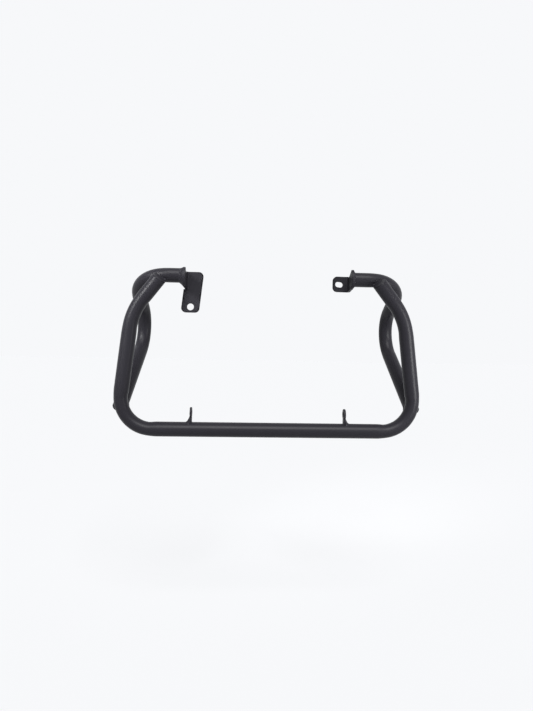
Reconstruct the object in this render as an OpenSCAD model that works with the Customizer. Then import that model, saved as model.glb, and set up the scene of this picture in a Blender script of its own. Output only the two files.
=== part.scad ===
// Crash bars for a motorcycle engine: a bent front hoop, two side braces behind it,
// two upper bracket plates and two lower tabs, welded into one frame.
// The origin is the middle of the bolt line through the two lower tabs.

/* [Tube] */
// outside diameter of every tube
tube_od = 25.4; // [19:0.1:32]
// wall thickness of every tube
tube_wall = 2; // [1.2:0.1:3]
// bend radius at the tube axis for the tight bends
bend_r = 54; // [48:1:60]
// how much a bend flattens the tube, as a share of diameter over radius
squash = 0.17; // [0:0.01:0.2]

/* [Front hoop] */
// width between the lower corners, at the tube axis before bending
hoop_width = 517; // [480:1:560]
// width between the shoulders, at the tube axis before bending
shoulder_width = 472; // [450:1:510]
// height of the shoulders over the bottom bar axis
shoulder_height = 199.5; // [180:0.5:230]
// bend radius at the shoulders
shoulder_r = 108; // [95:1:115]
// lean of the upper arms from upright
arm_lean = 37.6; // [34:0.1:41]
// length of each upper arm from the shoulder point to its cut end
arm_length = 74; // [70:0.5:80]
// slant of the cut end, so that it faces up and forward, in degrees from square
arm_slant = 17; // [0:1:25]

/* [Side braces] */
// how far the top of each brace sits behind the hoop
brace_back = 18; // [16:0.5:22]
// height of the brace top over the cut end of the arm
brace_rise = 8; // [6:0.1:11]
// how far the brace corner lies outboard of the cut end of the arm
brace_out = 48.5; // [45:0.1:56]
// how far the knee of the brace lies inboard of the leg
knee_in = 6; // [3:0.5:10]
// how far the knee lies below the shoulder
knee_drop = 18; // [12:0.5:24]
// how far the knee point reaches behind the hoop
knee_back = 148; // [135:1:160]
// place of the brace foot around the corner bend, below level
foot_angle = 13.5; // [8:0.5:20]
// how far the foot lies outside the corner bend line
foot_out = 3.5; // [0:0.5:5]
// how far the foot point sits behind the hoop
foot_back = 12; // [10:0.5:13]
// length of brace past the foot point
foot_tail = 7; // [5:0.5:9]

/* [Upper plates] */
// thickness of the bracket plates
plate_t = 4.5; // [3:0.5:6]
// outer face of the left flange from the middle
left_reach = 151.5; // [146:0.5:156]
// outer face of the right flange from the middle
right_reach = 147.5; // [142:0.5:152]
// depth of each flange from its front edge to the back of the plate
flange_depth = 46; // [42:0.5:50]
// radius of the round end of each flange
flange_r = 18; // [16:0.5:20]
// how far the highest point of that end lies in front of the tube axis
crest_front = 9; // [4:0.5:12]
// inside radius of the plate bend
plate_bend = 3; // [2:0.5:5]
// corner radius of the plates
plate_corner = 8; // [5:0.5:9]

/* [Left plate] */
// height of the round flange end from the tube axis
left_rise = -2; // [-3:0.5:2]
// fall of the upper edge behind its highest point, in degrees
left_fall = 45; // [15:1:60]
// how far the upper edge dips over the tube axis, below the upper edge of the plate
left_dip = 5; // [0:0.5:6]
// drop of the upper edge of the left plate below the top of the tube
left_drop = 2; // [1:0.2:4]
// width of the left plate
left_plate_w = 32.3; // [30:0.1:38]
// length of the left plate from the flange top downwards
left_plate_l = 73; // [68:0.5:84]
// bolt hole diameter in the left plate
left_hole_d = 12.4; // [11:0.2:14]
// height of the bolt hole over the lower edge
left_hole_up = 10.2; // [9.5:0.1:14]

/* [Right plate] */
// height of the round flange end from the tube axis
right_rise = 0.5; // [-2:0.5:3]
// fall of the upper edge behind its highest point, in degrees
right_fall = 25; // [15:1:60]
// how far the upper edge dips over the tube axis, below the upper edge of the tab
right_dip = 0; // [0:0.5:6]
// drop of the upper edge of the right tab below the top of the tube
right_drop = 4; // [2:0.2:5]
// length of the right tab from the flange
right_tab_l = 31.5; // [29:0.5:36]
// rise of the right tab towards the middle, in degrees
right_tilt = 1; // [0:0.5:4]
// height of the right tab
right_tab_h = 28; // [26:0.5:32]
// length of the slot
slot_l = 14; // [13:0.5:17]
// width of the slot
slot_w = 10; // [9:0.5:12]
// tilt of the slot
slot_tilt = 7; // [0:1:12]

/* [Lower tabs] */
// distance between the middles of the two tabs
tab_spread = 265; // [250:1:280]
// thickness of each tab
tab_t = 3.2; // [2.5:0.1:5]
// width of the round head of each tab
tab_w = 19; // [18:0.5:22]
// width of the neck below the head
neck_w = 12; // [9:0.5:16]
// height of the tab hole over the bottom bar axis
tab_rise = 28.5; // [26:0.5:32]
// hole diameter in the tabs
tab_hole_d = 9; // [8.5:0.5:10]

/* [Welds] */
// leg length of the weld beads
weld = 2.4; // [1.8:0.1:3]
// length of the wide left flange weld along the tube
long_weld = 10; // [6:0.5:12]
// width of the wide bead on the outer side of each tab
tab_bead = 8; // [6:0.5:10]
// height of that bead up the side of the tab
tab_bead_h = 11.5; // [8:0.5:12]

/* [Hidden] */
$fn = 72;
tube_r = tube_od / 2;
bore_r = tube_r - tube_wall;
past = 6;
lap = 0.4;
corner_x = hoop_width / 2;
shoulder_x = shoulder_width / 2;
leg_slope = (corner_x - shoulder_x) / shoulder_height;
leg_lean = atan(leg_slope);
arm_dir = [-sin(arm_lean), 0, cos(arm_lean)];
shoulder_pt = [shoulder_x, 0, shoulder_height];
arm_end = shoulder_pt + arm_length * arm_dir;
corner_centre = [corner_x - bend_r * tan(45 + leg_lean / 2), 0, bend_r];
knee_z = shoulder_height - knee_drop;
brace_z = arm_end[2] + brace_rise;
brace_corner = [arm_end[0] + brace_out, brace_back, brace_z];
knee_pt = [corner_x - leg_slope * knee_z - knee_in, knee_back, knee_z];
foot_pt = corner_centre + (bend_r + foot_out) * [cos(foot_angle), 0, -sin(foot_angle)]
    + [0, foot_back, 0];
foot_dir = unit(foot_pt - knee_pt);
flange_y = brace_back - flange_r;
back_y = flange_y + flange_depth;
plate_y = back_y - plate_t;
left_top = brace_z + tube_r - left_drop;
left_low = brace_z + left_rise - flange_r;
right_top = brace_z + tube_r - right_drop;
right_low = right_top - right_tab_h;
tab_x = tab_spread / 2;
arm_over = tube_od * sin(arm_slant);
bead_reach = 1.35 * tube_od;
cap_t = 3.2;
cap_gap = 0.6;
slit_gap = 1.5;

hoop_line = [flip(arm_end), flip(shoulder_pt), [-corner_x, 0, 0],
    [corner_x, 0, 0], shoulder_pt, arm_end];
hoop_radii = [shoulder_r, bend_r, bend_r, shoulder_r];
brace_radii = [bend_r, bend_r];

function flip(p) = [-p[0], p[1], p[2]];
function unit(v) = v / norm(v);
function heading(v, i) = unit(v[i + 1] - v[i]);
function turn(v, i) = acos(heading(v, i - 1) * heading(v, i));
function setback(v, radii, i) = i == 0 || i == len(v) - 1 ? 0 : radii[i - 1] * tan(turn(v, i) / 2);
function bend_normal(v, i) = unit(cross(heading(v, i - 1), heading(v, i)));
function roll(v, i) = i >= len(v) - 2 ? 0
    : let (a = bend_normal(v, i), b = bend_normal(v, i + 1), u = heading(v, i))
      atan2(cross(a, b) * u, a * b);
function flat(b) = 1 - squash * tube_od / b;
function brace_line(reach) = [[reach, brace_back, brace_z], brace_corner, knee_pt, foot_pt];

// a round bar along the line v with bends of the given radii, grown at its start and end
module bent_bar(v, radii, r, lead = 0, tail = 0) {
    n = bend_normal(v, 1);
    u = heading(v, 0);
    x = cross(n, u);
    multmatrix([[x[0], n[0], u[0], v[0][0]],
                [x[1], n[1], u[1], v[0][1]],
                [x[2], n[2], u[2], v[0][2]],
                [0, 0, 0, 1]])
        translate([0, 0, -lead]) bar_step(v, radii, r, 0, lead, tail);
}

// the straight after point i, the flattened bend behind it, and the rest of the bar
module bar_step(v, radii, r, i, lead, tail) {
    last = i == len(v) - 2;
    long = norm(v[i + 1] - v[i]) - setback(v, radii, i) - setback(v, radii, i + 1)
        + (i == 0 ? lead : 0) + (last ? tail : 0);
    under = i == 0 ? 0 : lap;
    over = last ? 0 : lap;
    translate([0, 0, -under]) cylinder(h = long + under + over, r = r);
    if (!last) {
        a = turn(v, i + 1);
        b = radii[i];
        translate([b, 0, long]) {
            rotate([90, 0, 180]) rotate_extrude(angle = a)
                translate([b, 0]) scale([flat(b), 0.995]) circle(r = r);
            rotate([0, a, 0]) translate([-b, 0, 0]) rotate([0, 0, roll(v, i + 1)])
                bar_step(v, radii, r, i + 1, 0, tail);
        }
    }
}

// everything is drawn from the bottom bar axis up, then set down to the bolt line
module placed(tint) {
    color(tint) translate([0, 0, -tab_rise]) children();
}

module left_side() {
    mirror([1, 0, 0]) children();
}

// stands on the cut end of the right arm, pointing along it
module at_arm_end() {
    translate(arm_end) rotate([0, -arm_lean, 0]) children();
}

// everything past the slanted cut of the arm, moved along it by the given distance
module past_cut(by = 0) {
    rotate([arm_slant, 0, 0]) translate([-tube_od, -tube_od, by]) cube(2 * tube_od);
}

module hoop_solid(grow = 0) {
    difference() {
        bent_bar(hoop_line, hoop_radii, tube_r + grow, arm_over, arm_over);
        at_arm_end() past_cut();
        left_side() at_arm_end() past_cut();
    }
}

module brace_solid(reach, grow = 0) {
    bent_bar(brace_line(reach), brace_radii, tube_r + grow, 0, foot_tail);
}

// the last straight of the right upper arm, grown outwards and past its cut end
module arm_stub(grow) {
    at_arm_end() difference() {
        translate([0, 0, -bead_reach])
            cylinder(h = bead_reach + arm_over + grow, r = tube_r + grow);
        past_cut(grow);
    }
}

module brace_tube(reach) {
    difference() {
        brace_solid(reach);
        bent_bar(brace_line(reach), brace_radii, bore_r, past, foot_tail + past);
        hoop_solid();
    }
}

// stands on the cut end of the foot, pointing along the brace
module at_foot_end() {
    x = unit(cross([0, 1, 0], foot_dir));
    y = cross(foot_dir, x);
    p = foot_pt + foot_tail * foot_dir;
    multmatrix([[x[0], y[0], foot_dir[0], p[0]],
                [x[1], y[1], foot_dir[1], p[1]],
                [x[2], y[2], foot_dir[2], p[2]],
                [0, 0, 0, 1]]) children();
}

// material that rounds the corner p of an outline whose neighbours are a and b
module corner_waste(a, p, b, r, h) {
    u = unit(a - p);
    w = unit(b - p);
    half = acos(u * w) / 2;
    c = p + unit(u + w) * r / sin(half);
    ta = p + u * r / tan(half);
    tb = p + w * r / tan(half);
    difference() {
        linear_extrude(height = h)
            polygon([c, c + 1.3 * (ta - c), p + 1.5 * (p - c), c + 1.3 * (tb - c)]);
        translate([c[0], c[1], -1]) cylinder(h = h + 2, r = r);
    }
}

// a plate of outline v, with the corner i rounded by radii[i]
module rounded_plate(v, radii, h) {
    n = len(v);
    difference() {
        linear_extrude(height = h) polygon(v);
        for (i = [0 : n - 1]) if (radii[i] > 0)
            translate([0, 0, -1])
                corner_waste(v[(i + n - 1) % n], v[i], v[(i + 1) % n], radii[i], h + 2);
    }
}

// turns a plate drawn in x and y so that y points up and its thickness runs back
module upright() {
    rotate([90, 0, 0]) mirror([0, 0, 1]) children();
}

// the round end of a flange as a short bar of the given length along x, its upper edge
// falling behind the crest
module round_end(rise, fall, length) {
    rotate([90, 0, 90]) difference() {
        translate([brace_back, brace_z + rise, 0]) cylinder(h = length, r = flange_r);
        translate([brace_back - crest_front, brace_z + rise
            + sqrt(pow(flange_r, 2) - pow(crest_front, 2)), -1])
            rotate([0, 0, -fall]) cube([2 * flange_r, flange_r, length + 2]);
    }
}

// the flange across the tube end and the bend behind it: its front is round about a point
// the given height from the tube axis, and it runs back to the upper and lower plate edge
module flange(reach, rise, fall, top, dip, low) {
    bend_x = reach - plate_t - plate_bend;
    bend_y = plate_y - plate_bend;
    deep = back_y + lap;
    round_low = brace_z + rise - flange_r;
    tall = brace_z + rise + flange_r - min(low, round_low);
    intersection() {
        translate([0, 0, min(low, round_low)]) union() {
            translate([reach - plate_t, flange_y, 0])
                cube([plate_t, bend_y + lap - flange_y, tall]);
            translate([bend_x, bend_y, 0])
                rotate_extrude(angle = 90) translate([plate_bend, 0]) square([plate_t, tall]);
        }
        translate([bend_x - lap, 0, 0]) union() {
            round_end(rise, fall, plate_t + plate_bend + 2 * lap);
            rotate([90, 0, 90]) linear_extrude(height = plate_t + plate_bend + 2 * lap)
                polygon([[brace_back, round_low], [bend_y, low], [deep, low],
                    [deep, top], [bend_y, top], [brace_back, top - dip]]);
        }
    }
}

// the edge of the left plate, leaning with the leg: across at the top, then down to z
function lean_x(across, z) = across + (left_top - z) * leg_slope;

module left_plate() {
    bend_x = left_reach - plate_t - plate_bend;
    low = left_top - left_plate_l;
    edge = left_reach - slit_gap;
    inner = edge - left_plate_w / cos(leg_lean);
    mid = lean_x(edge - left_plate_w / cos(leg_lean) / 2, low + left_hole_up);
    slit = left_low - cap_gap;
    difference() {
        translate([0, plate_y, 0]) upright()
            rounded_plate([[bend_x + lap, left_top], [lean_x(inner, left_top), left_top],
                [lean_x(inner, low), low], [lean_x(edge, low), low],
                [lean_x(edge, slit), slit], [bend_x + lap, slit]],
                [0, plate_corner, plate_corner, plate_corner, 2, 0], plate_t);
        translate([mid, plate_y - 1, low + left_hole_up]) upright()
            cylinder(h = plate_t + 2, d = left_hole_d);
    }
}

module right_plate() {
    bend_x = right_reach - plate_t - plate_bend;
    tip = right_reach - right_tab_l;
    rise = (bend_x - tip) * tan(right_tilt);
    low = right_low;
    difference() {
        translate([0, plate_y, 0]) upright()
            rounded_plate([[bend_x + lap, right_top], [tip, right_top + rise],
                [tip, low + rise], [bend_x + lap, low]],
                [0, plate_corner, plate_corner, 0], plate_t);
        translate([tip + slot_l / 2 + 4.5, plate_y - 1, low + rise / 2 + right_tab_h / 2 - 0.5])
            upright() rotate([0, 0, -slot_tilt]) {
                gap = slot_l - slot_w;
                translate([-gap / 2, 0, 0]) cylinder(h = plate_t + 2, d = slot_w);
                translate([gap / 2, 0, 0]) cylinder(h = plate_t + 2, d = slot_w);
                translate([-gap / 2, -slot_w / 2, 0]) cube([gap, slot_w, plate_t + 2]);
            }
    }
}

// one tab on top of the bottom bar, its middle at the given distance across
module lower_tab(x) {
    difference() {
        translate([x - tab_t / 2, 0, 0]) {
            translate([0, 0, tab_rise]) rotate([0, 90, 0]) cylinder(h = tab_t, d = tab_w);
            translate([0, -neck_w / 2, 0]) cube([tab_t, neck_w, tab_rise]);
        }
        translate([x - tab_t, 0, tab_rise]) rotate([0, 90, 0])
            cylinder(h = 2 * tab_t, d = tab_hole_d);
        translate([x - tab_t, 0, 0]) rotate([0, 90, 0]) cylinder(h = 2 * tab_t, r = tube_r);
    }
}

// the bead around the foot of the right tab, wide on its outer side
module tab_weld() {
    half = tab_t / 2;
    foot = tube_r * 0.6;
    span = 2 * (tab_bead + tab_t);
    difference() {
        translate([tab_x, 0, 0]) intersection() {
            rotate([90, 0, 0]) linear_extrude(height = neck_w + 2 * weld, center = true)
                polygon([[-half - weld / 4, foot], [-half - weld / 4, tube_r],
                    [-half, tube_r + weld / 2], [half, tube_r + tab_bead_h],
                    [half + 0.25 * tab_bead, tube_r + 0.35 * tab_bead_h],
                    [half + tab_bead, tube_r], [half + tab_bead, foot]]);
            translate([-span / 2, 0, 0]) rotate([0, 90, 0])
                cylinder(h = span, r = tube_r + tab_bead_h);
        }
        translate([tab_x - half, -neck_w / 2, 0]) cube([tab_t, neck_w, tab_rise]);
        translate([tab_x - span, 0, 0]) rotate([0, 90, 0]) cylinder(h = 2 * span, r = tube_r);
    }
}

// the bead where the cut end of an arm sits on the brace, and the cap that closes the end
module arm_weld(reach) {
    difference() {
        union() {
            difference() {
                intersection() {
                    arm_stub(weld);
                    brace_solid(reach, weld);
                }
                arm_stub(0);
            }
            at_arm_end() rotate([arm_slant, 0, 0]) linear_extrude(height = cap_t / 2)
                scale([1, 1 / cos(arm_slant)]) circle(r = tube_r - cap_gap);
        }
        brace_solid(reach);
    }
}

// the bead around the brace foot on the corner of the hoop, and the cap that closes the foot
module foot_weld(reach) {
    difference() {
        union() {
            intersection() {
                at_foot_end() translate([0, 0, -bend_r])
                    cylinder(h = bend_r + weld, r = tube_r + weld);
                hoop_solid(weld);
            }
            at_foot_end() translate([0, 0, 2 * cap_gap - cap_t])
                cylinder(h = cap_t, r = tube_r - cap_gap);
        }
        brace_tube(reach);
        hoop_solid();
        at_foot_end() translate([0, 0, -bend_r - 1]) cylinder(h = bend_r - 1, r = tube_r - 1);
    }
}

// a bead around the tube where it meets the flange
module flange_weld(reach, across, along) {
    translate([reach, brace_back, brace_z]) rotate([0, 90, 0])
        rotate_extrude()
            polygon([[tube_r, 0], [tube_r + across, 0],
                [tube_r + across * 0.45, along * 0.45], [tube_r, along]]);
}

module hoop_tube_shape() {
    difference() {
        hoop_solid();
        bent_bar(hoop_line, hoop_radii, bore_r, past, past);
        brace_solid(right_reach);
        left_side() brace_solid(left_reach);
    }
}

module hoop_tube() placed("#2c2c31") hoop_tube_shape();

module left_brace_tube() placed("#2c2c31") left_side() brace_tube(left_reach);

module right_brace_tube() placed("#2c2c31") brace_tube(right_reach);

module left_bracket_plate() placed("#26262b") left_side() {
    flange(left_reach, left_rise, left_fall, left_top, left_dip, left_low);
    left_plate();
}

module right_bracket_plate() placed("#26262b") {
    flange(right_reach, right_rise, right_fall, right_top, right_dip, right_low);
    right_plate();
}

module left_lower_tab() placed("#26262b") lower_tab(-tab_x);

module right_lower_tab() placed("#26262b") lower_tab(tab_x);

module left_arm_weld() placed("#34343a") left_side() arm_weld(left_reach);

module right_arm_weld() placed("#34343a") arm_weld(right_reach);

module left_foot_weld() placed("#34343a") left_side() foot_weld(left_reach);

module right_foot_weld() placed("#34343a") foot_weld(right_reach);

// the wide left bead ends at the round edge of the flange
module left_flange_weld() placed("#34343a") left_side() intersection() {
    flange_weld(left_reach, 1.2 * (flange_r + abs(left_rise) - tube_r), long_weld);
    translate([left_reach - lap, 0, 0]) round_end(left_rise, left_fall, 2 * long_weld);
}

module right_flange_weld() placed("#34343a") flange_weld(right_reach, weld, 1.4 * weld);

module left_tab_weld() placed("#34343a") left_side() tab_weld();

module right_tab_weld() placed("#34343a") tab_weld();

hoop_tube();
left_brace_tube();
right_brace_tube();
left_bracket_plate();
right_bracket_plate();
left_lower_tab();
right_lower_tab();
left_arm_weld();
right_arm_weld();
left_foot_weld();
right_foot_weld();
left_flange_weld();
right_flange_weld();
left_tab_weld();
right_tab_weld();
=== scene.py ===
"""Motorcycle crash bars in satin black powder coat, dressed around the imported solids.

Lengths are written in millimetres and turned to metres when a mesh is made. The origin is
the middle of the bolt line through the two lower tabs, +Z is up, +X is to the right of the
hoop as seen from its front, and the hoop stands in the plane y = 0.
"""

import bpy
import numpy as np
from mathutils import Matrix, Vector
from mathutils.geometry import delaunay_2d_cdt


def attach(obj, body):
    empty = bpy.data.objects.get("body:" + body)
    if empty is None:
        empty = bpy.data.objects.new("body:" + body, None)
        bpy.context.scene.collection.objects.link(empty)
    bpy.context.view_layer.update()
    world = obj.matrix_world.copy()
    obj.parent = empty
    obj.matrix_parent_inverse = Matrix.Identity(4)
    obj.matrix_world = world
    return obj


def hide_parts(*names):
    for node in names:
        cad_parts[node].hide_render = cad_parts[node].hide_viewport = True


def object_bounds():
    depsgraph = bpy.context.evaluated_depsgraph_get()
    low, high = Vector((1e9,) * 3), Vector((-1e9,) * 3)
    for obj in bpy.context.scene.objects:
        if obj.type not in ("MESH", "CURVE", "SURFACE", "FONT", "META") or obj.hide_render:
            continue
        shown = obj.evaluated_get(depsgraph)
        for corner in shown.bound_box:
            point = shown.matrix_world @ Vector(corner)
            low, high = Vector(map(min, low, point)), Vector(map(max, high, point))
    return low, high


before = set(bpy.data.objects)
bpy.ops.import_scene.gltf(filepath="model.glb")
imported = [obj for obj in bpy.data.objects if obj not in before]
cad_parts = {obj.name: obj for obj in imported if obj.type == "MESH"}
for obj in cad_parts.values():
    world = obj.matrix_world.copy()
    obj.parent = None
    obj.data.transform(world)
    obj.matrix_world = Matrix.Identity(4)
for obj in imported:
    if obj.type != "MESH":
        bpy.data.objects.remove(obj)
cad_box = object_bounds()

# Front hoop: one 25.4 mm steel tube with five straights and four bends, made on a tube bender.
# The dies flatten each bend a little and leave shallow marks where a bend begins and ends.
# It is blasted, sprayed with dry satin black powder and baked, so its skin is one soft coat.
MM = 0.001
TUBE_OD = 25.4
HAIR = 0.03  # keeps the facets of the skin inside the solid
TUBE_R = TUBE_OD / 2 - HAIR
BEND_R = 54.0
SHOULDER_R = 108.0
BAR_DROP = 28.5
CORNER_X = 258.5
SHOULDER = np.array([236.0, 0.0, 199.5])
ARM_LEAN = np.radians(37.6)
ARM_DIR = np.array([-np.sin(ARM_LEAN), 0.0, np.cos(ARM_LEAN)])
ARM_LENGTH = 74.0
ARM_END = SHOULDER + ARM_LENGTH * ARM_DIR
ARM_SLANT = np.radians(17.0)
SQUASH = 0.17
EASE = 16.0
MARK_LENGTH = 2.2


def on_side(side, points):
    """The same places on the right (side 1) or mirrored to the left (side -1)."""
    return np.asarray(points, float) * [side, 1.0, 1.0]


def unit(v):
    return v / np.linalg.norm(v, axis=-1, keepdims=True)


def spin(v, axis, angle):
    """Turns the vector v about a unit axis by each angle in turn (Rodrigues' formula)."""
    c, s = np.cos(angle)[:, None], np.sin(angle)[:, None]
    return c * v + s * np.cross(axis, v) + (1 - c) * axis * (axis @ v)


def soft_step(x):
    """0 below 0, 1 above 1, and 3x^2 - 2x^3 between."""
    x = np.clip(x, 0.0, 1.0)
    return x * x * (3.0 - 2.0 * x)


def bent_line(corners, radii, step=2.0):
    """Centre line of a bent tube, as rows of points with their directions.

    Each inner corner is rounded by an arc that starts radius * tan(turn / 2) before it, and
    the side vector turns with the tube, so it never twists. Each bend is also listed: where it
    starts and ends along the line, its radius and the axis it turns about.
    """
    corners = np.asarray(corners, float)
    heading = unit(np.diff(corners, axis=0))
    turn = np.arccos(np.sum(heading[:-1] * heading[1:], axis=1))
    setback = np.r_[0.0, np.asarray(radii) * np.tan(turn / 2), 0.0]
    side = unit(np.cross(heading[0], np.cross(heading[0], heading[1])))
    rows, gone, bends = [], 0.0, []
    for i, u in enumerate(heading):
        start = corners[i] + setback[i] * u
        length = np.linalg.norm(corners[i + 1] - corners[i]) - setback[i] - setback[i + 1]
        t = np.linspace(0.0, length, max(2, round(length / step)), endpoint=i == len(heading) - 1)
        rows.append((start + t[:, None] * u, u + 0 * t[:, None], side + 0 * t[:, None], gone + t))
        gone += length
        if i < len(radii):
            axis = unit(np.cross(u, heading[i + 1]))
            inward = np.cross(axis, u)
            a = np.linspace(0.0, turn[i], max(8, round(radii[i] * turn[i] / step)), endpoint=False)
            centre = start + length * u + radii[i] * inward
            rows.append((centre - radii[i] * spin(inward, axis, a), spin(u, axis, a),
                         spin(side, axis, a), gone + radii[i] * a))
            side = spin(side, axis, turn[i:i + 1])[0]
            bends.append((gone, gone + radii[i] * turn[i], radii[i], axis))
            gone += radii[i] * turn[i]
    at, along, side, gone = (np.concatenate(part) for part in zip(*rows))
    return {"at": at, "along": along, "side": side, "gone": gone, "bends": bends}


def tube_skin(line, radius, around=80, squash=SQUASH, marks=()):
    """Skin of a bent tube: r(s, a) = radius * (side cos a + up sin a), pressed flat in bends.

    In a bend the part of r that points to the bend's centre is made shorter by
    squash * diameter / bend radius, fading in and out over EASE. Each mark is a shallow dent
    (distance along, angle, depth, length, width): depth * exp(-(ds / length)^2 - (da / width)^2).
    """
    s = line["gone"][:, None]
    a = np.linspace(0.0, 2 * np.pi, around, endpoint=False)
    up = np.cross(line["along"], line["side"])
    out = (np.cos(a)[None, :, None] * line["side"][:, None]
           + np.sin(a)[None, :, None] * up[:, None])
    r = radius * out
    for start, end, bend_r, axis in line["bends"]:
        press = soft_step((s - start) / EASE + 0.5) * soft_step((end - s) / EASE + 0.5)
        inward = np.cross(axis, line["along"])[:, None]
        depth = press[..., None] * squash * 2 * radius / bend_r
        r = r - depth * np.sum(r * inward, axis=2, keepdims=True) * inward
    for where, angle, deep, long, wide in marks:
        turn = np.angle(np.exp(1j * (a[None] - angle)))
        r = r - (deep * np.exp(-((s - where) / long) ** 2 - (turn / wide) ** 2))[..., None] * out
    return line["at"][:, None] + r


def die_mark(line, where, turned, deep, wide):
    """A mark for tube_skin: a dent at a place along the tube, some degrees from its front."""
    row = np.argmin(np.abs(line["gone"] - where))
    side, up = line["side"][row], np.cross(line["along"][row], line["side"][row])
    front = np.arctan2(-up[1], -side[1])
    return where, front + np.radians(turned), deep, MARK_LENGTH, wide


def slanted(skin, line, which, normal, reach=24.0):
    """Runs one end of a skin out to a slanted plane through the end of its line.

    Each column is slid along the tube by -(r . n) / (u . n), where r is its place on the end
    ring, and the slide fades to nothing over reach.
    """
    at, u = line["at"][which], line["along"][which]
    slide = -((skin[which] - at) @ normal) / (u @ normal)
    fade = 1.0 - soft_step(np.abs(line["gone"] - line["gone"][which]) / reach)
    return skin + (fade[:, None] * slide)[..., None] * u


def close_ends(skin, line, lip=0.7):
    """Adds rows that round the rim of each end and draw in to a flat cap."""
    curl = np.array([0.0, 0.3, 0.65, 1.0]) * np.pi / 2
    first, last = skin[0] - line["at"][0], skin[-1] - line["at"][-1]
    rows = []
    for ring, at, way in ((first, line["at"][0], -line["along"][0]),
                          (last, line["at"][-1], line["along"][-1])):
        shrink = 1.0 - lip * (1 - np.cos(curl)) / TUBE_R
        push = lip * (np.sin(curl) - 1.0)
        rows.append(at + shrink[:, None, None] * ring + push[:, None, None] * way)
    return np.concatenate([rows[0][::-1], skin[1:-1], rows[1]])


def grid_faces(rows, cols, wrap_rows=False):
    """Quads between neighbouring rows of a grid whose columns close on themselves."""
    i = np.arange(rows if wrap_rows else rows - 1)[:, None]
    j = np.arange(cols)[None]
    k, m = (i + 1) % rows, (j + 1) % cols
    return np.stack([i * cols + j, i * cols + m, k * cols + m, k * cols + j], -1).reshape(-1, 4)


def new_piece(name, points, faces, material):
    """A shaded mesh object that rides on the frame. Points are in millimetres."""
    mesh = bpy.data.meshes.new(name)
    mesh.from_pydata((np.asarray(points).reshape(-1, 3) * MM).tolist(), [], faces)
    mesh.shade_smooth()
    mesh.materials.append(material)
    piece = bpy.data.objects.new(name, mesh)
    bpy.context.scene.collection.objects.link(piece)
    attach(piece, "root")
    return piece


def tube_piece(name, skin, material):
    """The closed skin of a tube as one piece, with a flat cap on each end."""
    rows, cols = skin.shape[:2]
    faces = grid_faces(rows, cols).tolist()
    faces.append(list(range(cols))[::-1])
    faces.append([(rows - 1) * cols + j for j in range(cols)])
    return new_piece(name, skin, faces, material)


def linear(code):
    """An sRGB hex colour as linear red, green, blue and alpha."""
    c = np.array([int(code[i:i + 2], 16) / 255 for i in (1, 3, 5)])
    return (*np.where(c <= 0.04045, c / 12.92, ((c + 0.055) / 1.055) ** 2.4).tolist(), 1.0)


def add_node(tree, kind, settings=(), links=(), values=()):
    """Adds a node, sets its properties and input values, and links its inputs."""
    node = tree.nodes.new(kind)
    for key, value in dict(settings).items():
        setattr(node, key, value)
    for key, value in dict(values).items():
        node.inputs[key].default_value = value
    for key, socket in dict(links).items():
        tree.links.new(socket, node.inputs[key])
    return node


CLOUD_MM = 45.0
GLOSS_SWING = 0.03
COAT_IOR = 1.5
COAT_SPECULAR = 0.13


def powder_coat(name, low, high, roughness, peel_mm, peel_um):
    """Satin polyester powder coat on steel: a dielectric skin with fine orange peel.

    The powder melts into a film that is never quite level, so the colour stays even while
    the gloss breaks up. peel_mm is the distance between its swells and peel_um their height.
    Colour and gloss also drift a little over CLOUD_MM, where the film is thicker or thinner.
    The specular level is under the default one, because the matting agent in a satin film
    spoils part of its reflection.
    """
    material = bpy.data.materials.new(name)
    material.use_nodes = True
    tree = material.node_tree
    tree.nodes.clear()
    place = add_node(tree, "ShaderNodeTexCoord").outputs["Object"]
    cloud = add_node(tree, "ShaderNodeTexNoise", links={"Vector": place},
                     values={"Scale": 1 / (CLOUD_MM * MM), "Detail": 3.0})
    colour = add_node(tree, "ShaderNodeMix", {"data_type": "RGBA"},
                      {"Factor": cloud.outputs["Fac"]}, {"A": linear(low), "B": linear(high)})
    peel = add_node(tree, "ShaderNodeTexNoise", links={"Vector": place},
                    values={"Scale": 1 / (peel_mm * MM), "Detail": 2.0, "Roughness": 0.45})
    gloss = add_node(tree, "ShaderNodeMapRange", links={"Value": cloud.outputs["Fac"]},
                     values={"From Min": 0.3, "From Max": 0.7,
                             "To Min": roughness - GLOSS_SWING,
                             "To Max": roughness + GLOSS_SWING})
    bump = add_node(tree, "ShaderNodeBump", links={"Height": peel.outputs["Fac"]},
                    values={"Strength": 1.0, "Distance": peel_um * 1e-6})
    shader = add_node(tree, "ShaderNodeBsdfPrincipled",
                      links={"Base Color": colour.outputs["Result"],
                             "Roughness": gloss.outputs["Result"],
                             "Normal": bump.outputs["Normal"]},
                      values={"IOR": COAT_IOR, "Specular IOR Level": COAT_SPECULAR})
    add_node(tree, "ShaderNodeOutputMaterial", links={"Surface": shader.outputs["BSDF"]})
    return material


tube_coat = powder_coat("satin_black_powder_coat_on_tube", "#1e1d22", "#232227",
                        roughness=0.37, peel_mm=1.6, peel_um=5.0)

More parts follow.
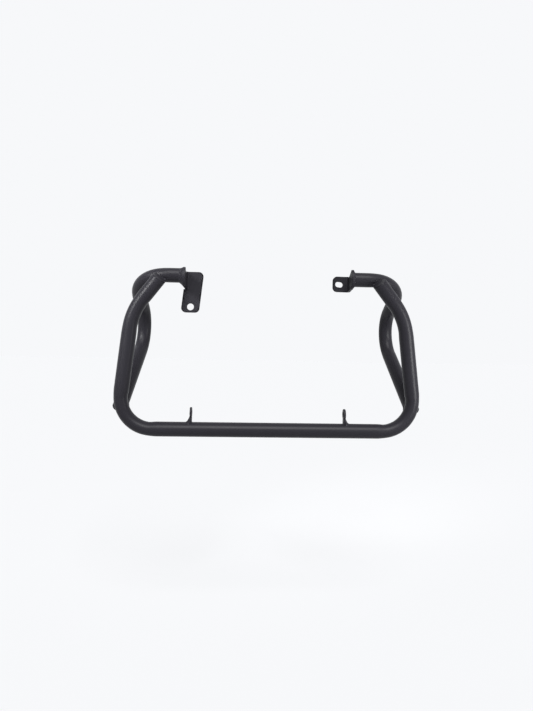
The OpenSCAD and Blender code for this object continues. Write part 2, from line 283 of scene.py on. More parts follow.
hoop_corners = np.array([on_side(-1, ARM_END), on_side(-1, SHOULDER), [-CORNER_X, 0, 0],
                         [CORNER_X, 0, 0], SHOULDER, ARM_END]) - [0, 0, BAR_DROP]
CUT = np.cos(ARM_SLANT) * ARM_DIR - np.sin(ARM_SLANT) * np.array([0.0, 1.0, 0.0])
hoop_line = bent_line(hoop_corners, [SHOULDER_R, BEND_R, BEND_R, SHOULDER_R])
_, left_corner, right_corner, _ = hoop_line["bends"]
hoop_marks = [die_mark(hoop_line, left_corner[1], turned=20, deep=0.35, wide=0.5),
              die_mark(hoop_line, right_corner[0], turned=20, deep=0.2, wide=0.7)]
hoop_skin = tube_skin(hoop_line, TUBE_R, marks=hoop_marks)
hoop_skin = slanted(hoop_skin, hoop_line, -1, CUT)
hoop_skin = slanted(hoop_skin, hoop_line, 0, on_side(-1, CUT))
hoop = tube_piece("front_hoop", close_ends(hoop_skin, hoop_line), tube_coat)
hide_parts("hoop_tube")

# Side braces: two more lengths of the same tube. Each starts at the flange of its bracket
# plate, runs outboard over the arm, bends back to a knee behind the leg and comes down to the
# lower corner of the hoop, where its foot is coped and welded on.
BRACE_BACK = 18.0
BRACE_ABOVE_ARM = 8.0
BRACE_Z = ARM_END[2] + BRACE_ABOVE_ARM
LEFT_REACH, RIGHT_REACH = 151.5, 147.5
PAST_ARM = 48.5
BRACE_CORNER = np.array([ARM_END[0] + PAST_ARM, BRACE_BACK, BRACE_Z])
LEG_SLOPE = (CORNER_X - SHOULDER[0]) / SHOULDER[2]
KNEE_BELOW_SHOULDER = 18.0
KNEE_INSIDE_LEG = 6.0
KNEE_BACK = 148.0
KNEE_Z = SHOULDER[2] - KNEE_BELOW_SHOULDER
KNEE = np.array([CORNER_X - LEG_SLOPE * KNEE_Z - KNEE_INSIDE_LEG, KNEE_BACK, KNEE_Z])
CORNER_HALF_TURN = np.pi / 4 + np.arctan(LEG_SLOPE) / 2
CORNER_CENTRE = np.array([CORNER_X - BEND_R * np.tan(CORNER_HALF_TURN), 0.0, BEND_R])
FOOT_ANGLE = np.radians(13.5)
FOOT_PAST_BEND = 3.5
FOOT_BACK = 12.0
FOOT_SUNK = 7.0
FOOT_WAY = np.array([np.cos(FOOT_ANGLE), 0, -np.sin(FOOT_ANGLE)])
FOOT = CORNER_CENTRE + (BEND_R + FOOT_PAST_BEND) * FOOT_WAY + [0, FOOT_BACK, 0]
FOOT_END = FOOT + FOOT_SUNK * unit(FOOT - KNEE)


def brace(reach, side, mark_deep, mark_wide):
    """Centre line and skin of a brace from its flange, on the right (1) or the left (-1).

    It has one die mark, where the bend at its knee ends.
    """
    corners = np.array([[reach, BRACE_BACK, BRACE_Z], BRACE_CORNER, KNEE, FOOT_END])
    line = bent_line(on_side(side, corners) - [0, 0, BAR_DROP], [BEND_R, BEND_R])
    knee_end = line["bends"][1][1]
    mark = die_mark(line, knee_end, turned=0, deep=mark_deep, wide=mark_wide)
    return line, tube_skin(line, TUBE_R, marks=[mark])


left_line, left_skin = brace(LEFT_REACH, -1, mark_deep=0.4, mark_wide=0.9)
right_line, right_skin = brace(RIGHT_REACH, 1, mark_deep=0.3, mark_wide=0.8)
left_brace = tube_piece("left_side_brace", close_ends(left_skin, left_line), tube_coat)
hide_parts("left_brace_tube")
right_brace = tube_piece("right_side_brace", close_ends(right_skin, right_line), tube_coat)
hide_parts("right_brace_tube")

# Bracket plates: 4.5 mm steel sheet, cut with round corners and folded once beside the tube.
# The flange is welded square across the tube end and the plate behind it is bolted to the
# machine, the left one through a round hole, the right one through a slot.
PLATE_T = 4.5
FOLD_R = 3.0
FLANGE_R = 18.0
FLANGE_Y = BRACE_BACK - FLANGE_R
CREST = 9.0  # from the tube's axis forward to the highest point of a flange
PLATE_CORNER = 8.0
OUTLINE_STEP = 1.2
PLATE_BACK = FLANGE_Y + 46.0
FOLD_Y = PLATE_BACK - PLATE_T - FOLD_R
FOLD_MIDDLE_R = FOLD_R + PLATE_T / 2
FOLD_U = FOLD_Y - FLANGE_Y
FOLD = (FOLD_U, FOLD_U + FOLD_MIDDLE_R * np.pi / 2)
EDGE = 0.5


def arc(centre, radius, start, end, count=14):
    """Points on a circle from one angle to another, in degrees."""
    a = np.radians(np.linspace(start, end, count))
    return np.asarray(centre) + radius * np.stack([np.cos(a), np.sin(a)], axis=1)


def circle(centre, radius, count=48):
    """A closed circle of points."""
    return arc(centre, radius, 0, 360 * (count - 1) / count, count)


def rounded(corners, radii, count=8):
    """A closed outline whose corners are arcs: each centre lies r / sin(half turn) inside."""
    corners = np.asarray(corners, float)
    loop = []
    for i, r in enumerate(radii):
        p = corners[i]
        u, w = unit(corners[i - 1] - p), unit(corners[(i + 1) % len(corners)] - p)
        if r == 0:
            loop.append(p[None])
            continue
        half = np.arccos(np.clip(u @ w, -1, 1)) / 2
        centre = p + unit(u + w) * r / np.sin(half)
        a, b = p + u * r / np.tan(half) - centre, p + w * r / np.tan(half) - centre
        t = np.linspace(0, 1, count)[:, None]
        whole = np.pi - 2 * half
        loop.append(centre + (np.sin((1 - t) * whole) * a + np.sin(t * whole) * b) / np.sin(whole))
    return np.concatenate(loop)


def evenly(points, step, closed=True):
    """The same line with its points about a step apart. Corners over 25 degrees are kept."""
    if closed:
        points = np.concatenate([points, points[:1]])
    span = np.diff(points, axis=0)
    gone = np.r_[0.0, np.cumsum(np.linalg.norm(span, axis=1))]
    span = unit(span)
    sharp = np.sum(span[:-1] * span[1:], axis=1) < np.cos(np.radians(25))
    stops = gone[np.r_[True, sharp, True]]
    at = np.concatenate([np.linspace(a, b, max(1, round((b - a) / step)), endpoint=False)
                         for a, b in zip(stops[:-1], stops[1:])] + [stops[-1:]])
    line = np.stack([np.interp(at, gone, column) for column in points.T], axis=1)
    return line[:-1] if closed else line


def within(points, loop):
    """True where a point lies inside a closed loop: a ray to its right crosses it oddly often."""
    x, y = points[:, :1], points[:, 1:]
    a, b = loop, np.roll(loop, -1, axis=0)
    spans = (a[:, 1] > y) != (b[:, 1] > y)
    rise = np.where(b[:, 1] == a[:, 1], 1.0, b[:, 1] - a[:, 1])
    crossing = a[:, 0] + (y - a[:, 1]) * (b[:, 0] - a[:, 0]) / rise
    return np.sum(spans & (x < crossing), axis=1) % 2 == 1


def in_sheet(points, rims):
    """True where a point lies inside the first rim and outside the others, the holes."""
    inside = within(points, rims[0][0])
    for rim, _ in rims[1:]:
        inside &= ~within(points, rim)
    return inside


def sheet_mesh(outline, holes, thick, place, fold=(0.0, 0.0)):
    """A flat sheet with rounded edges and holes, set in space by place(u, v, depth).

    The edge profile, a quarter circle of radius EDGE at each face, is carried round every
    loop. The faces are filled with triangles on a grid, with close columns across the fold.
    """
    rim_width, wide_step, fold_step, row_step, clear = 0.7, 3.0, 0.55, 1.1, 0.6
    curl = np.linspace(0.0, np.pi / 2, 4)
    cut_in, cut_down = EDGE * (1 - np.sin(curl)), EDGE * (1 - np.cos(curl))
    inset = np.r_[rim_width, cut_in, cut_in[::-1], rim_width]
    depth = np.r_[0.0, cut_down, thick - cut_down[::-1], thick]
    points, faces, rims, count = [], [], [], 0
    for k, loop in enumerate([outline] + holes):
        area = np.sum(loop[:, 0] * np.roll(loop[:, 1], -1) - loop[:, 1] * np.roll(loop[:, 0], -1))
        if (area > 0) != (k == 0):
            loop = loop[::-1]
        ahead = unit(np.roll(loop, -1, axis=0) - np.roll(loop, 1, axis=0))
        inward = np.stack([-ahead[:, 1], ahead[:, 0]], axis=1)
        ring = loop[:, None] + inset[None, :, None] * inward[:, None]
        n, m = len(loop), len(depth)
        deep = np.broadcast_to(depth[None, :, None], (n, m, 1))
        points.append(np.concatenate([ring, deep], axis=2).reshape(-1, 3))
        i, j = np.arange(n)[:, None], np.arange(m - 1)[None]
        k2 = (i + 1) % n
        strip = np.stack([i * m + j, i * m + j + 1, k2 * m + j + 1, k2 * m + j], -1)
        faces.append(count + strip.reshape(-1, 4))
        rims.append((ring[:, 0], count + np.arange(n) * m))
        count += n * m

    # The grid is bent by a hair, so that no four of its points lie on one circle.
    low, high = outline.min(axis=0), outline.max(axis=0)
    columns = np.concatenate([np.arange(low[0], fold[0] - 0.4, wide_step),
                              np.arange(*fold, fold_step),
                              np.arange(fold[1] + 0.2, high[0], wide_step)])
    rows = np.arange(low[1], high[1], row_step)
    grid = np.stack(np.meshgrid(columns, rows, indexing="ij"), -1).reshape(-1, 2)
    grid = grid + 0.005 * np.sin(grid[:, ::-1] * 7.3)
    keep = in_sheet(grid, rims)
    for rim, _ in rims:
        keep &= np.min(np.linalg.norm(grid[:, None] - rim[None], axis=2), axis=1) > clear
    grid = grid[keep]
    flat = np.concatenate([rim for rim, _ in rims] + [grid])
    edges, first = [], 0
    for rim, _ in rims:
        edges += [(first + i, first + (i + 1) % len(rim)) for i in range(len(rim))]
        first += len(rim)
    spots, _, triangles, source, _, _ = delaunay_2d_cdt(
        [tuple(p) for p in flat], edges, [list(range(len(rims[0][0])))], 1, 1e-6)
    spots = np.array([tuple(p) for p in spots])
    triangles = np.array([t for t in triangles if len(t) == 3])
    triangles = triangles[in_sheet(spots[triangles].mean(axis=1), rims)]
    a, b, c = (spots[triangles[:, q]] for q in range(3))
    turn = (b[:, 0] - a[:, 0]) * (c[:, 1] - a[:, 1]) - (b[:, 1] - a[:, 1]) * (c[:, 0] - a[:, 0])
    triangles[turn < 0] = triangles[turn < 0][:, ::-1]

    # The same triangles make both faces: front and back hold the point numbers of each.
    inner = np.arange(len(grid))
    front = np.concatenate([ids for _, ids in rims] + [count + inner])
    back = np.concatenate([ids + m - 1 for _, ids in rims] + [count + len(grid) + inner])
    origin = np.array([s[0] for s in source])
    faces += [front[origin][triangles][:, ::-1], back[origin][triangles]]
    points += [np.c_[grid, np.zeros(len(grid))], np.c_[grid, np.full(len(grid), thick)]]
    return place(*np.concatenate(points).T), [f for part in faces for f in part.tolist()]


def folded(reach, side, slit_z=-np.inf):
    """Places a developed bracket: u runs from the flange front round the fold to the middle.

    Up to the fold u is depth in y. In the fold the sheet turns through 90 degrees about an
    upright axis, with u measured on its middle layer. Past the fold u runs towards x = 0.
    Below slit_z the sheet is not folded: there it stays flat and runs out as an ear.
    """
    def place(u, z, depth):
        ear = z < slit_z
        past = u - FOLD[1]
        over = np.where(ear, np.pi / 2, np.clip((u - FOLD_U) / FOLD_MIDDLE_R, 0.0, np.pi / 2))
        past = np.where(ear, past, np.maximum(past, 0.0))
        r = FOLD_R + PLATE_T - depth
        x = reach - PLATE_T - FOLD_R + r * np.cos(over) - past
        y = FLANGE_Y + np.where(ear, FOLD_U, np.minimum(u, FOLD_U)) + r * np.sin(over)
        return np.stack([side * x, y, z - BAR_DROP], axis=1)

    return place


def developed(reach, x):
    """How far along the sheet a place x on the plate lies."""
    return FOLD[1] + (reach - PLATE_T - FOLD_R) - x


def round_front(rise, fall):
    """The front of a flange, seen from its side: a circle set rise above the tube's axis.

    Gives the curve from its low point round to the crest, the crest, and the way down from
    there, which falls backwards by an angle in degrees.
    """
    centre = np.array([FLANGE_R, BRACE_Z + rise])
    crest = centre + [-CREST, np.sqrt(FLANGE_R ** 2 - CREST ** 2)]
    curve = arc(centre, FLANGE_R, 270, 90 + np.degrees(np.arcsin(CREST / FLANGE_R)), 40)
    return curve, crest, np.array([np.cos(np.radians(fall)), -np.sin(np.radians(fall))])


plate_coat = powder_coat("satin_black_powder_coat_on_plate", "#1f1e23", "#242328",
                         roughness=0.46, peel_mm=1.4, peel_um=5.0)

# Left bracket: its side edges lean with the leg of the hoop. The part of the plate below the
# flange isn't joined to it: a thin slit keeps the two apart.
LEFT_RISE, LEFT_FALL, LEFT_FALL_LENGTH = -2.0, 45.0, 7.0
LEFT_TOP = BRACE_Z + TUBE_R - 2.0
LEFT_BOTTOM = LEFT_TOP - 73.0
LEFT_LOW = BRACE_Z + LEFT_RISE - FLANGE_R
DIP_BELOW_TOP = 4.9
SLIT = 0.6
LEFT_EDGE = LEFT_REACH - 1.5
LEFT_WIDE = 32.3 / np.cos(np.arctan(LEG_SLOPE))
HOLE_R, HOLE_UP = 6.2, 10.2


def leaning(x, z):
    """A place on the left plate's side edge, which leans with the leg of the hoop."""
    return [developed(LEFT_REACH, x + (LEFT_TOP - z) * LEG_SLOPE), z]


curve, crest, down = round_front(LEFT_RISE, LEFT_FALL)
dip = [FLANGE_R + 0.6, LEFT_TOP - DIP_BELOW_TOP]
slit_low = LEFT_LOW - SLIT
left_part = rounded([[FOLD_U, LEFT_TOP],
                     leaning(LEFT_EDGE - LEFT_WIDE, LEFT_TOP),
                     leaning(LEFT_EDGE - LEFT_WIDE, LEFT_BOTTOM),
                     leaning(LEFT_EDGE, LEFT_BOTTOM),
                     leaning(LEFT_EDGE, slit_low)],
                    [0, PLATE_CORNER, PLATE_CORNER, PLATE_CORNER, 0])
left_outline = np.concatenate([curve, [crest + LEFT_FALL_LENGTH * down], [dip], left_part,
                               [[FOLD[1], slit_low], [FOLD[1], LEFT_LOW]]])
hole = circle(leaning(LEFT_EDGE - LEFT_WIDE / 2, LEFT_BOTTOM + HOLE_UP), HOLE_R)
points, faces = sheet_mesh(evenly(left_outline, OUTLINE_STEP), [hole], PLATE_T,
                           folded(LEFT_REACH, -1, slit_low + SLIT / 2), FOLD)
left_plate = new_piece("left_bracket", points, faces, plate_coat)
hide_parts("left_bracket_plate")

# Right bracket: a short tab that rises by one degree to its tip, with a slot turned by seven.
RIGHT_RISE, RIGHT_FALL, RIGHT_FALL_LENGTH = 0.5, 25.0, 20.0
RIGHT_TOP = BRACE_Z + TUBE_R - 4.0
RIGHT_LOW = RIGHT_TOP - 28.0
TIP = RIGHT_REACH - 31.5
TIP_LIFT = (RIGHT_REACH - PLATE_T - FOLD_R - TIP) * np.tan(np.radians(1.0))
SLOT_R, SLOT_HALF_RUN, SLOT_TURN = 5.0, 2.0, 7
SLOT_IN, SLOT_UP = 11.5, 13.5

curve, crest, down = round_front(RIGHT_RISE, RIGHT_FALL)
tip_u = developed(RIGHT_REACH, TIP)
right_part = rounded([[FOLD_U, RIGHT_TOP], [tip_u, RIGHT_TOP + TIP_LIFT],
                      [tip_u, RIGHT_LOW + TIP_LIFT], [FOLD_U + 2.0, RIGHT_LOW]],
                     [3.0, PLATE_CORNER, PLATE_CORNER, 0])
right_outline = np.concatenate([curve, [crest + RIGHT_FALL_LENGTH * down], right_part,
                                [[FOLD_U, RIGHT_LOW],
                                 [FLANGE_R + 4, BRACE_Z + RIGHT_RISE - FLANGE_R]]])
slot_at = np.array([developed(RIGHT_REACH, TIP + SLOT_IN), RIGHT_LOW + TIP_LIFT / 2 + SLOT_UP])
run = SLOT_HALF_RUN * np.array([np.cos(np.radians(SLOT_TURN)), np.sin(np.radians(SLOT_TURN))])
slot = np.concatenate([arc(slot_at + run, SLOT_R, SLOT_TURN - 90, SLOT_TURN + 90, 26),
                       arc(slot_at - run, SLOT_R, SLOT_TURN + 90, SLOT_TURN + 270, 26)])
points, faces = sheet_mesh(evenly(right_outline, OUTLINE_STEP), [evenly(slot, 1.0)], PLATE_T,
                           folded(RIGHT_REACH, 1), FOLD)
right_plate = new_piece("right_bracket", points, faces, plate_coat)
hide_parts("right_bracket_plate")

# Lower tabs: two keyhole-shaped ears of 3.2 mm plate that stand on the bottom bar, their
# holes on one line, for bolts that clamp them to a cross tube of the machine.
TAB_X = 132.5
TAB_T = 3.2
TAB_R = 9.5
TAB_HOLE_R = 4.5
NECK = 6.0
NECK_SUNK = 4.0


def tab_place(side):
    """Stands a flat tab on the bar: u is depth in y, v is height, depth is thickness in x."""
    def place(u, v, depth):
        return np.stack([side * (TAB_X + TAB_T / 2 - depth), u, v - BAR_DROP], axis=1)
    return place


meets_neck = np.degrees(np.arcsin(NECK / TAB_R))
neck = rounded([[-NECK, TUBE_R], [-NECK, TUBE_R - NECK_SUNK],
                [NECK, TUBE_R - NECK_SUNK], [NECK, TUBE_R]], [0, 2.5, 2.5, 0])
tab_outline = np.concatenate([arc([0, BAR_DROP], TAB_R, meets_neck - 90, 270 - meets_neck, 48),
                              neck])
tab_hole = circle([0, BAR_DROP], TAB_HOLE_R)
for side, name in ((-1, "left"), (1, "right")):
    points, faces = sheet_mesh(evenly(tab_outline, 1.0), [tab_hole], TAB_T, tab_place(side))
    tab = new_piece(name + "_mounting_tab", points, faces, plate_coat)
    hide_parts(name + "_lower_tab")

# Weld beads: laid by hand around each joint. Every drop of filler freezes as a ripple, about
# 1.8 mm from the last, and the powder coat softens them.
LEG = 2.4
RIPPLE = 1.8
ARM_BEAD, ARM_BEAD_OUT = 3.0, 1.6
SEAM, SEAM_END, SEAM_END_POINTS = 2.6, 4.0, 8
ARM_LID, FOOT_LID = 1.6, 1.2
LID_R = TUBE_R - 0.6
SLIT_BEAD = 1.9
FLARE_RIPPLE = 2.6
weld_coat = powder_coat("satin_black_powder_coat_on_weld", "#201f24", "#26252a",
                        roughness=0.42, peel_mm=1.2, peel_um=5.0)


def meeting_line(skin, axis_points, radius):
    """Where the columns of a skin first enter another tube.

    The distance of every skin point from the other tube's axis is compared with its radius,
    and the crossing is placed between two rows in proportion. Gives one unbroken run.
    """
    away = skin[:, :, None] - axis_points[None, None]
    gap = np.sqrt(np.min(np.sum(away ** 2, axis=3), axis=2)) - radius
    hit = gap < 0
    first = np.argmax(hit, axis=0)
    good = hit.any(axis=0) & (first > 0)
    column = np.arange(skin.shape[1])
    before, after = gap[first - 1, column], gap[first, column]
    share = (before / np.where(before == after, 1.0, before - after))[:, None]
    place = skin[first - 1, column] * (1 - share) + skin[first, column] * share
    start = np.argmax(good & ~np.roll(good, 1)) if not good.all() else 0
    order = (column + start) % len(column)
    return place[order][good[order]]


def rod(path, centre, size, closed=False, step=0.45, sides=18):
    """A rippled bead along a path: r(s) = size * (0.93 + 0.13 |cos(pi s / RIPPLE)|).

    It is rounded off at both ends. The section's first axis points away from centre.
    """
    path = evenly(path, step, closed)
    ahead = np.roll(path, -1, axis=0) - np.roll(path, 1, axis=0)
    if not closed:
        ahead[0], ahead[-1] = path[1] - path[0], path[-1] - path[-2]
    ahead = unit(ahead)
    gone = np.r_[0.0, np.cumsum(np.linalg.norm(np.diff(path, axis=0), axis=1))]
    out = path - centre
    out = unit(out - np.sum(out * ahead, axis=1, keepdims=True) * ahead)
    across = np.cross(ahead, out)
    r = size * (0.93 + 0.13 * np.abs(np.cos(np.pi * gone / RIPPLE)))
    if not closed:
        end = np.minimum(gone, gone[-1] - gone)
        r = r * np.sqrt(np.clip(1 - (1 - np.clip(end / size, 0.02, 1)) ** 2, 0, 1))
    a = np.linspace(0, 2 * np.pi, sides, endpoint=False)
    ring = np.cos(a)[None, :, None] * out[:, None] + np.sin(a)[None, :, None] * across[:, None]
    points = path[:, None] + r[:, None, None] * ring
    faces = grid_faces(len(path), len(a), closed).tolist()
    if not closed:
        faces.append(list(range(len(a)))[::-1])
        faces.append([(len(path) - 1) * len(a) + j for j in range(len(a))])
    return points.reshape(-1, 3), faces


def disc(ring, way, thick):
    """A round-edged lid of the given thickness on a ring of points."""
    middle = ring.mean(axis=0)
    curl = np.linspace(0, np.pi / 2, 5)
    soft = 0.7
    shrink = np.r_[1.0, 1 - soft * (1 - np.cos(curl)) / TUBE_R, 0.6, 0.25]
    rise = np.r_[-1.0, thick - soft + soft * np.sin(curl), thick + 0.15, thick + 0.2]
    points = middle + shrink[:, None, None] * (ring - middle)[None] + rise[:, None, None] * way
    cols = ring.shape[0]
    faces = grid_faces(len(shrink), cols).tolist()
    faces.append(list(range(cols))[::-1])
    faces.append([(len(shrink) - 1) * cols + j for j in range(cols)])
    return points.reshape(-1, 3), faces


def joined(*parts):
    """Several meshes as one."""
    points, faces, count = [], [], 0
    for p, f in parts:
        points.append(p)
        faces += [[i + count for i in face] for face in f]
        count += len(p)
    return np.concatenate(points), faces


def shrunk(ring, middle):
    """A tube's end ring drawn in a little, so that its lid lies inside the rim."""
    return middle + (ring - middle) * LID_R / TUBE_R


# An arm's end is closed by a lid. Beads run where its skin and its slanted end plane, which
# across and deep span, meet the straight start of the brace. A foot has a lid and one bead.
BRACE_START = 110.0
FOOT_NEAR = 70.0
END_ROWS = 40
ALONG_CUT, INTO_CUT = np.linspace(-11.5, 9.5, 28), np.linspace(-12.0, 16.0, 90)
SEAM_CENTRE_BEHIND = 9.0
for side, name, line, skin, hoop_end in ((-1, "left", left_line, left_skin, hoop_skin),
                                         (1, "right", right_line, right_skin, hoop_skin[::-1])):
    arm_at = on_side(side, ARM_END) - [0, 0, BAR_DROP]
    brace_start = line["at"][line["gone"] < BRACE_START]
    path = meeting_line(hoop_end[:END_ROWS][::-1], brace_start, TUBE_R + ARM_BEAD_OUT)
    way = on_side(side, CUT)
    across = on_side(side, [-np.cos(ARM_LEAN), 0.0, -np.sin(ARM_LEAN)])
    deep = on_side(side, np.sin(ARM_SLANT) * ARM_DIR + [0.0, np.cos(ARM_SLANT), 0.0])
    end_plane = arm_at + ALONG_CUT[None, :, None] * across + INTO_CUT[:, None, None] * deep
    seam = meeting_line(end_plane, brace_start, TUBE_R)
    behind = arm_at - SEAM_CENTRE_BEHIND * way
    lid_ring = shrunk(hoop_end[0], arm_at)[::side]
    points, faces = joined(rod(path, arm_at, ARM_BEAD), rod(seam, behind, SEAM),
                           rod(seam[-SEAM_END_POINTS:], behind, SEAM_END),
                           disc(lid_ring, way, ARM_LID))
    bead = new_piece(name + "_arm_bead", points, faces, weld_coat)
    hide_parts(name + "_arm_weld")

    near = np.linalg.norm(hoop_line["at"] - skin[-1].mean(axis=0), axis=1) < FOOT_NEAR
    path = meeting_line(skin[-END_ROWS:], hoop_line["at"][near], TUBE_R)
    foot_at = line["at"][-1]
    points, faces = joined(rod(path, foot_at, LEG),
                           disc(shrunk(skin[-1], foot_at), line["along"][-1], FOOT_LID))
    bead = new_piece(name + "_foot_bead", points, faces, weld_coat)
    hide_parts(name + "_foot_weld")

a = np.linspace(0, 2 * np.pi, 90, endpoint=False)
axis_at = np.array([RIGHT_REACH, BRACE_BACK, BRACE_Z - BAR_DROP])
path = axis_at + TUBE_R * np.stack([0 * a, np.cos(a), np.sin(a)], axis=1)
outboard = np.array([1.0, 0.0, 0.0])
points, faces = rod(path + 0.3 * outboard, axis_at - 40 * outboard, LEG, closed=True)
bead = new_piece("right_flange_bead", points, faces, weld_coat)
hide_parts("right_flange_weld")


def wide_flare(count=360, rows=26, long=10.0):
    """The wide left bead: a concave cone from the flange edge down to the tube.

    Along the cone r falls from the flange's edge R(angle) to the tube as (1 - w)^1.6, and
    ripples of FLARE_RIPPLE run round it. R is the nearer of the round edge and the falling
    edge, and stays between 1.2 and 8 mm outside the tube.
    """
    a = np.linspace(0, 2 * np.pi, count, endpoint=False)
    rise, fall = LEFT_RISE, np.radians(LEFT_FALL)
    edge = rise * np.sin(a) + np.sqrt(FLANGE_R ** 2 - (rise * np.cos(a)) ** 2)
    crest = np.array([-CREST, rise + np.sqrt(FLANGE_R ** 2 - CREST ** 2)])
    normal = np.array([np.sin(fall), np.cos(fall)])
    facing = np.cos(a) * normal[0] + np.sin(a) * normal[1]
    cut = np.where(facing > 1e-3, (crest @ normal) / np.maximum(facing, 1e-3), 1e3)
    edge = np.minimum(np.minimum(edge, cut), TUBE_R + 8.0) - 0.3
    edge = np.maximum(edge, TUBE_R + 1.2)
    w = np.linspace(0, 1, rows)[:, None]
    wave = 0.12 * np.sin(np.pi * w) * np.cos(a * round(2 * np.pi * TUBE_R / FLARE_RIPPLE))
    r = TUBE_R - 0.4 + (edge - TUBE_R + 0.4)[None] * (1 - w) ** 1.6 + wave
    x = LEFT_REACH + long * w * (0.92 + 0.08 * np.cos(3 * a))

    def ring(x, r):
        x, r = np.broadcast_arrays(x + 0 * a, r + 0 * a)
        return np.stack([-x, BRACE_BACK + r * np.cos(a), BRACE_Z - BAR_DROP + r * np.sin(a)], -1)

    front, inside = LEFT_REACH - 0.5, TUBE_R - 1
    grid = np.concatenate([ring(front, inside)[None], ring(front, edge)[None], ring(x, r),
                           ring(LEFT_REACH + long, inside)[None]])
    return grid.reshape(-1, 3), grid_faces(len(grid), count, True)[:, ::-1].tolist()


slit_depth = 42.5
slit_bead = (np.array([[0.2 - LEFT_REACH, slit_depth, LEFT_LOW],
                       [8.0 - LEFT_REACH, slit_depth, LEFT_LOW]]) - [0, 0, BAR_DROP])
points, faces = joined(wide_flare(), rod(slit_bead, slit_bead[0] + [0, 9, 0], SLIT_BEAD))
bead = new_piece("left_flange_bead", points, faces, weld_coat)
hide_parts("left_flange_weld")


def tab_flare(side, width, height, half_span, rows=41, cols=17):
    """A concave run of filler from the face of a tab down to the top of the bar.

    Across the flare the height falls from height to the bar as (1 - w)^2.2, and both ends are
    drawn in as sqrt(1 - v^2), so the run starts and stops round.
    """
    v = np.linspace(-1, 1, rows)
    draw = np.sqrt(np.clip(1 - v ** 2, 0.0015, 1))
    y = v * half_span
    w = np.linspace(0, 1, cols)
    ripple = 1 + 0.05 * np.cos(2 * np.pi * y / RIPPLE)
    x = TAB_X + side * (TAB_T / 2 + width * (draw * ripple)[:, None] * w[None])
    bar_top = np.sqrt(TUBE_R ** 2 - y ** 2)[:, None]
    z = bar_top + (height * draw * ripple)[:, None] * (1 - w[None]) ** 2.2
    y = np.broadcast_to(y[:, None], z.shape)
    top = np.stack([x, y, z], axis=2)
    sunk, into_tab = 2.0, 1.0
    under = np.stack([x[:, ::-1], y, np.broadcast_to(bar_top - sunk, z.shape)], axis=2)
    under[:, -1, 0] -= side * into_tab
    ring = np.concatenate([top, under], axis=1) - [0, 0, BAR_DROP]
    n, m = ring.shape[:2]
    faces = grid_faces(n, m)
    faces = (faces if side < 0 else faces[:, ::-1]).tolist()
    ends = [list(range(m)), [(n - 1) * m + j for j in range(m)][::-1]]
    if side < 0:
        ends = [e[::-1] for e in ends]
    return ring.reshape(-1, 3), faces + ends


for side, name in ((-1, "left"), (1, "right")):
    outer = tab_flare(1, width=8.0, height=11.5, half_span=NECK + LEG)
    inner = tab_flare(-1, width=1.2, height=1.8, half_span=NECK + 1.0)
    points, faces = joined(outer, inner)
    points, faces = on_side(side, points), [f[::side] for f in faces]
    bead = new_piece(name + "_tab_bead", points, faces, weld_coat)
    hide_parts(name + "_tab_weld")

# Studio: a camera where the photograph was taken from, a pale floor well below the bars, a
# pale backdrop all round, one large soft light in front and above, and a softbox on each side.
EYE = np.array([-0.0500, -0.9000, 0.0966])
TURN, TILT, ROLL = 0.0504, 0.0042, 0.0180
SENSOR_MM, LENS_MM = 36.0, 26.415
view = np.array([np.sin(TURN) * np.cos(TILT), np.cos(TURN) * np.cos(TILT), np.sin(TILT)])
level = np.array([np.cos(TURN), -np.sin(TURN), 0.0])
upright = np.cross(level, view)
axes = np.stack([np.cos(ROLL) * level + np.sin(ROLL) * upright,
                 np.cos(ROLL) * upright - np.sin(ROLL) * level, -view], axis=1)
camera_data = bpy.data.cameras.new("camera")
camera_data.sensor_width = SENSOR_MM
camera_data.lens = LENS_MM
camera = bpy.data.objects.new("camera", camera_data)
pose = np.eye(4)
pose[:3, :3], pose[:3, 3] = axes, EYE
camera.matrix_world = Matrix(pose.tolist())
bpy.context.scene.collection.objects.link(camera)
bpy.context.scene.camera = camera

PALE = linear("#f7f8fa")


def seen_directly(tree):
    """1 for camera, glossy and transmission rays, so the white is also seen in reflections."""
    path = add_node(tree, "ShaderNodeLightPath")
    seen = add_node(tree, "ShaderNodeMath", {"operation": "MAXIMUM"},
                    {0: path.outputs["Is Camera Ray"], 1: path.outputs["Is Transmission Ray"]})
    seen = add_node(tree, "ShaderNodeMath", {"operation": "MAXIMUM"},
                    {0: seen.outputs[0], 1: path.outputs["Is Glossy Ray"]})
    return seen.outputs[0]


# The floor is matt. Where it is seen, FLOOR_WHITE of it is the backdrop's own white and the
# rest is lit, so it stays even and keeps a faint shadow.
FLOOR_WHITE = 0.7
FLOOR_BELOW = 0.35
FLOOR_HALF = 90
floor_coat = bpy.data.materials.new("matt_pale_floor")
floor_coat.use_nodes = True
tree = floor_coat.node_tree
tree.nodes.clear()
matt = add_node(tree, "ShaderNodeBsdfDiffuse", values={"Color": PALE})
white = add_node(tree, "ShaderNodeEmission", values={"Color": PALE, "Strength": 1.0})
share = add_node(tree, "ShaderNodeMath", {"operation": "MULTIPLY"},
                 {0: seen_directly(tree)}, {1: FLOOR_WHITE})
mix = add_node(tree, "ShaderNodeMixShader",
               links={0: share.outputs[0], 1: matt.outputs[0], 2: white.outputs[0]})
add_node(tree, "ShaderNodeOutputMaterial", links={"Surface": mix.outputs[0]})
floor_z = cad_box[0][2] - FLOOR_BELOW
mesh = bpy.data.meshes.new("floor")
mesh.from_pydata([(x * FLOOR_HALF, y * FLOOR_HALF, floor_z)
                  for x, y in ((-1, -1), (1, -1), (1, 1), (-1, 1))], [], [(0, 1, 2, 3)])
mesh.materials.append(floor_coat)
floor = bpy.data.objects.new("floor", mesh)
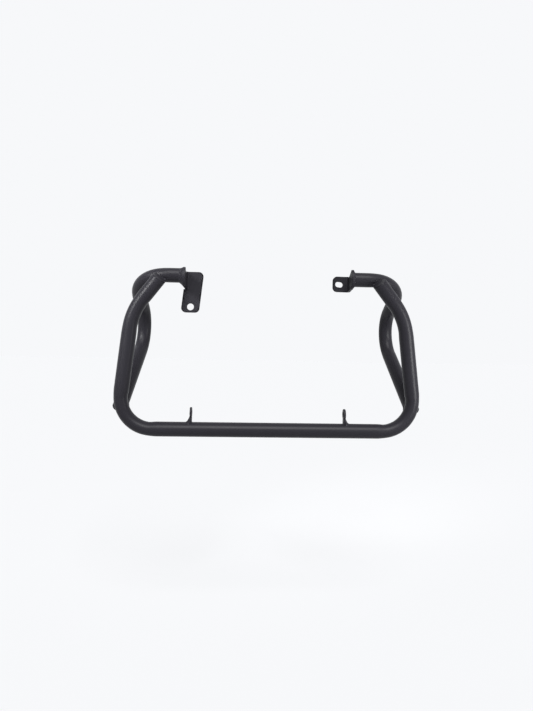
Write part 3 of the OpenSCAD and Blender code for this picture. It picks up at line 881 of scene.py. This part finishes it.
bpy.context.scene.collection.objects.link(floor)

# The world lights the bars evenly at SKY and is seen as the backdrop's white.
SKY = 0.31
world = bpy.data.worlds.new("studio")
bpy.context.scene.world = world
world.use_nodes = True
tree = world.node_tree
tree.nodes.clear()
light = add_node(tree, "ShaderNodeBackground", values={"Color": (1, 1, 1, 1), "Strength": SKY})
back = add_node(tree, "ShaderNodeBackground", values={"Color": PALE, "Strength": 1.0})
mix = add_node(tree, "ShaderNodeMixShader",
               links={0: seen_directly(tree), 1: light.outputs[0], 2: back.outputs[0]})
add_node(tree, "ShaderNodeOutputWorld", links={"Surface": mix.outputs[0]})


def softbox(name, place, target, size, power, spread):
    """A lamp at a place in metres, turned to face the target. Spread is in degrees."""
    data = bpy.data.lights.new(name, "AREA")
    data.shape = "RECTANGLE"
    data.size, data.size_y = size
    data.energy = power
    data.spread = np.radians(spread)
    lamp = bpy.data.objects.new(name, data)
    back = unit(np.subtract(place, target))
    right = unit(np.cross([0, 0, 1], back))
    pose = np.eye(4)
    pose[:3, :3], pose[:3, 3] = np.stack([right, np.cross(back, right), back], axis=1), place
    lamp.matrix_world = Matrix(pose.tolist())
    bpy.context.scene.collection.objects.link(lamp)


def far_light(name, azimuth, elevation, strength, width):
    """A round light far away: azimuth is degrees to the right of the front, width in degrees."""
    data = bpy.data.lights.new(name, "SUN")
    data.energy = strength
    data.angle = np.radians(width)
    lamp = bpy.data.objects.new(name, data)
    lamp.matrix_world = (Matrix.Rotation(np.radians(azimuth), 4, "Z")
                         @ Matrix.Rotation(np.radians(90 - elevation), 4, "X"))
    bpy.context.scene.collection.objects.link(lamp)


far_light("front_softbox", azimuth=4, elevation=46, strength=3.1, width=32)
softbox("left_softbox", place=(-0.55, -0.40, 0.45), target=(-0.23, 0.0, 0.18),
        size=(0.28, 0.28), power=0.34, spread=28)
softbox("right_softbox", place=(0.54, -0.345, 0.13), target=(0.25, 0.0, 0.1),
        size=(0.2, 0.3), power=0.50, spread=70)

bpy.context.scene.view_settings.view_transform = "Standard"
